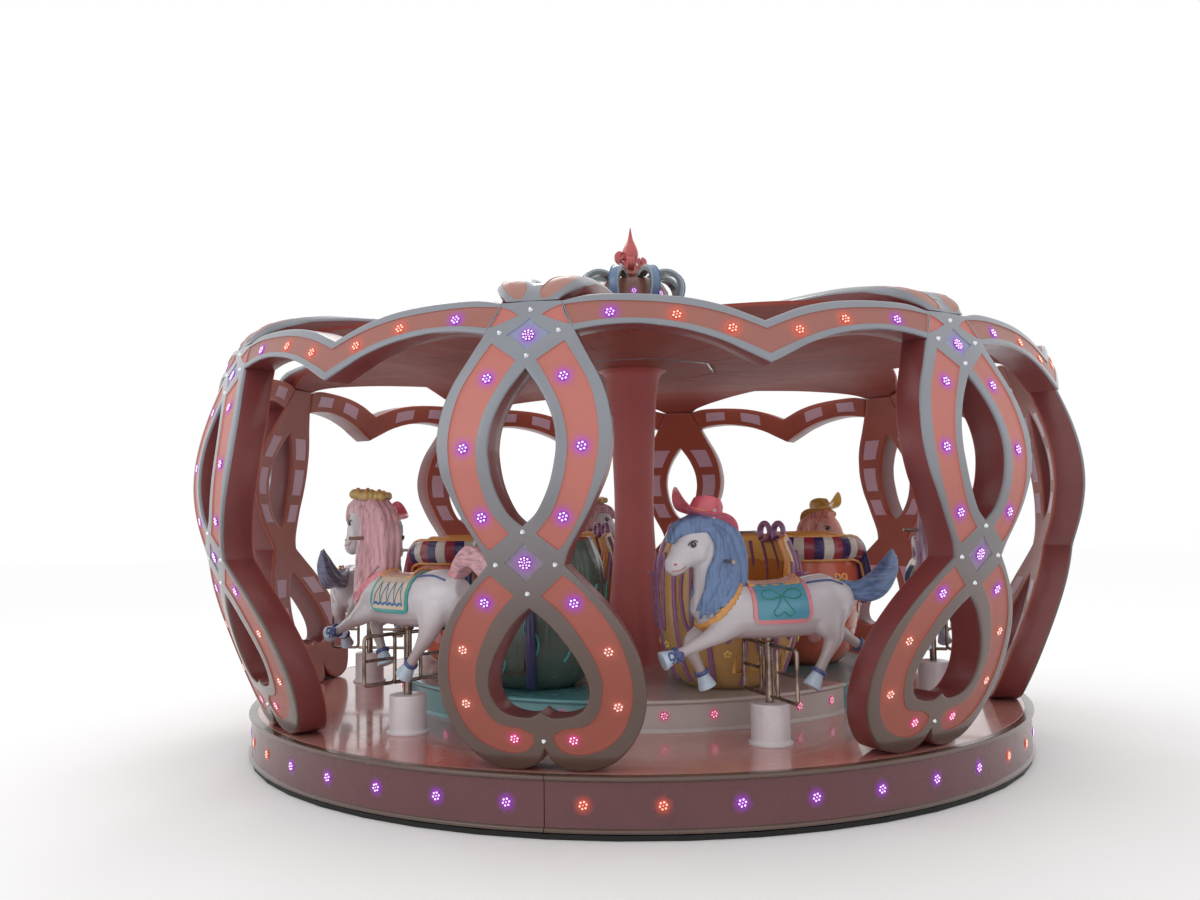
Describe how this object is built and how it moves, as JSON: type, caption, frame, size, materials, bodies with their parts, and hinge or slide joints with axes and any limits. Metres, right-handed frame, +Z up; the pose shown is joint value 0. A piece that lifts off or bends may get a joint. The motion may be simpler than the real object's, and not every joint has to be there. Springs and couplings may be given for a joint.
{
  "type": "children's carousel",
  "caption": "Fairground carousel shaped like a crown, with prancing horses and open tubs on a turning platform.",
  "frame": {"origin": "centre of the base on the ground", "axes": "+Z up along the turning axis, -Y towards the middle of crown_column_1"},
  "size_m": [6.1628, 6.1628, 3.752],
  "materials": {
    "base_frame": "black painted steel frame",
    "skirt_panel_1": "maroon glass-fibre moulding with silver lips",
    "skirt_panel_2": "maroon glass-fibre moulding with silver lips",
    "skirt_panel_3": "maroon glass-fibre moulding with silver lips",
    "skirt_panel_4": "maroon glass-fibre moulding with silver lips",
    "deck": "pale glossy sheet floor on a steel frame",
    "dais": "white and teal glass-fibre panels",
    "centre_column": "pink glass-fibre column over a steel post",
    "roof_hub": "maroon glass-fibre cover over a steel spider",
    "top_crown": "blue-grey glass-fibre moulding",
    "finial": "red-pink glass-fibre flame",
    "crown_column_1": "salmon glass-fibre moulding with silver edges",
    "crown_column_2": "salmon glass-fibre moulding with silver edges",
    "crown_column_3": "salmon glass-fibre moulding with silver edges",
    "crown_column_4": "salmon glass-fibre moulding with silver edges",
    "crown_column_5": "salmon glass-fibre moulding with silver edges",
    "crown_column_6": "salmon glass-fibre moulding with silver edges",
    "crown_column_7": "salmon glass-fibre moulding with silver edges",
    "crown_column_8": "salmon glass-fibre moulding with silver edges",
    "arch_band_1": "salmon glass-fibre moulding with silver edges",
    "arch_band_2": "salmon glass-fibre moulding with silver edges",
    "arch_band_3": "salmon glass-fibre moulding with silver edges",
    "arch_band_4": "salmon glass-fibre moulding with silver edges",
    "arch_band_5": "salmon glass-fibre moulding with silver edges",
    "arch_band_6": "salmon glass-fibre moulding with silver edges",
    "arch_band_7": "salmon glass-fibre moulding with silver edges",
    "arch_band_8": "salmon glass-fibre moulding with silver edges",
    "roof_rib_1": "salmon glass-fibre moulding with silver edges",
    "roof_rib_2": "salmon glass-fibre moulding with silver edges",
    "roof_rib_3": "salmon glass-fibre moulding with silver edges",
    "roof_rib_4": "salmon glass-fibre moulding with silver edges",
    "roof_rib_5": "salmon glass-fibre moulding with silver edges",
    "roof_rib_6": "salmon glass-fibre moulding with silver edges",
    "roof_rib_7": "salmon glass-fibre moulding with silver edges",
    "roof_rib_8": "salmon glass-fibre moulding with silver edges",
    "chariot_1": "painted glass-fibre tub with benches",
    "chariot_2": "painted glass-fibre tub with benches",
    "chariot_3": "painted glass-fibre tub with benches",
    "chariot_4": "painted glass-fibre tub with benches",
    "chariot_5": "painted glass-fibre tub with benches",
    "chariot_6": "painted glass-fibre tub with benches",
    "sleeve_1": "white flanged guide",
    "sleeve_2": "white flanged guide",
    "sleeve_3": "white flanged guide",
    "sleeve_4": "white flanged guide",
    "sleeve_5": "white flanged guide",
    "sleeve_6": "white flanged guide",
    "horse_1": "painted glass-fibre horse on a steel pole",
    "horse_2": "painted glass-fibre horse on a steel pole",
    "horse_3": "painted glass-fibre horse on a steel pole",
    "horse_4": "painted glass-fibre horse on a steel pole",
    "horse_5": "painted glass-fibre horse on a steel pole",
    "horse_6": "painted glass-fibre horse on a steel pole"
  },
  "bodies": {
    "base": {"base_frame": "base_frame"},
    "platform": {"skirt_panel_1": "skirt_panel_1", "skirt_panel_2": "skirt_panel_2", "skirt_panel_3": "skirt_panel_3", "skirt_panel_4": "skirt_panel_4", "deck": "deck", "dais": "dais", "centre_column": "centre_column", "roof_hub": "roof_hub", "top_crown": "top_crown", "finial": "finial", "crown_column_1": "crown_column_1", "crown_column_2": "crown_column_2", "crown_column_3": "crown_column_3", "crown_column_4": "crown_column_4", "crown_column_5": "crown_column_5", "crown_column_6": "crown_column_6", "crown_column_7": "crown_column_7", "crown_column_8": "crown_column_8", "arch_band_1": "arch_band_1", "arch_band_2": "arch_band_2", "arch_band_3": "arch_band_3", "arch_band_4": "arch_band_4", "arch_band_5": "arch_band_5", "arch_band_6": "arch_band_6", "arch_band_7": "arch_band_7", "arch_band_8": "arch_band_8", "roof_rib_1": "roof_rib_1", "roof_rib_2": "roof_rib_2", "roof_rib_3": "roof_rib_3", "roof_rib_4": "roof_rib_4", "roof_rib_5": "roof_rib_5", "roof_rib_6": "roof_rib_6", "roof_rib_7": "roof_rib_7", "roof_rib_8": "roof_rib_8", "chariot_1": "chariot_1", "chariot_2": "chariot_2", "chariot_3": "chariot_3", "chariot_4": "chariot_4", "chariot_5": "chariot_5", "chariot_6": "chariot_6", "sleeve_1": "sleeve_1", "sleeve_2": "sleeve_2", "sleeve_3": "sleeve_3", "sleeve_4": "sleeve_4", "sleeve_5": "sleeve_5", "sleeve_6": "sleeve_6"},
    "horse_1_body": {"horse_1": "horse_1"},
    "horse_2_body": {"horse_2": "horse_2"},
    "horse_3_body": {"horse_3": "horse_3"},
    "horse_4_body": {"horse_4": "horse_4"},
    "horse_5_body": {"horse_5": "horse_5"},
    "horse_6_body": {"horse_6": "horse_6"}
  },
  "joints": [
    {"name": "platform_turn", "type": "hinge", "parent": "base", "child": "platform", "pos_m": [0, 0, 0], "axis": [0, 0, 1], "continuous": true},
    {"name": "horse_1_lift", "type": "slide", "parent": "platform", "child": "horse_1_body", "axis": [0, 0, 1], "range_m": [0, 0.11]},
    {"name": "horse_2_lift", "type": "slide", "parent": "platform", "child": "horse_2_body", "axis": [0, 0, 1], "range_m": [-0.045, 0.065]},
    {"name": "horse_3_lift", "type": "slide", "parent": "platform", "child": "horse_3_body", "axis": [0, 0, 1], "range_m": [0, 0.11]},
    {"name": "horse_4_lift", "type": "slide", "parent": "platform", "child": "horse_4_body", "axis": [0, 0, 1], "range_m": [-0.045, 0.065]},
    {"name": "horse_5_lift", "type": "slide", "parent": "platform", "child": "horse_5_body", "axis": [0, 0, 1], "range_m": [0, 0.11]},
    {"name": "horse_6_lift", "type": "slide", "parent": "platform", "child": "horse_6_body", "axis": [0, 0, 1], "range_m": [-0.045, 0.065]}
  ]
}
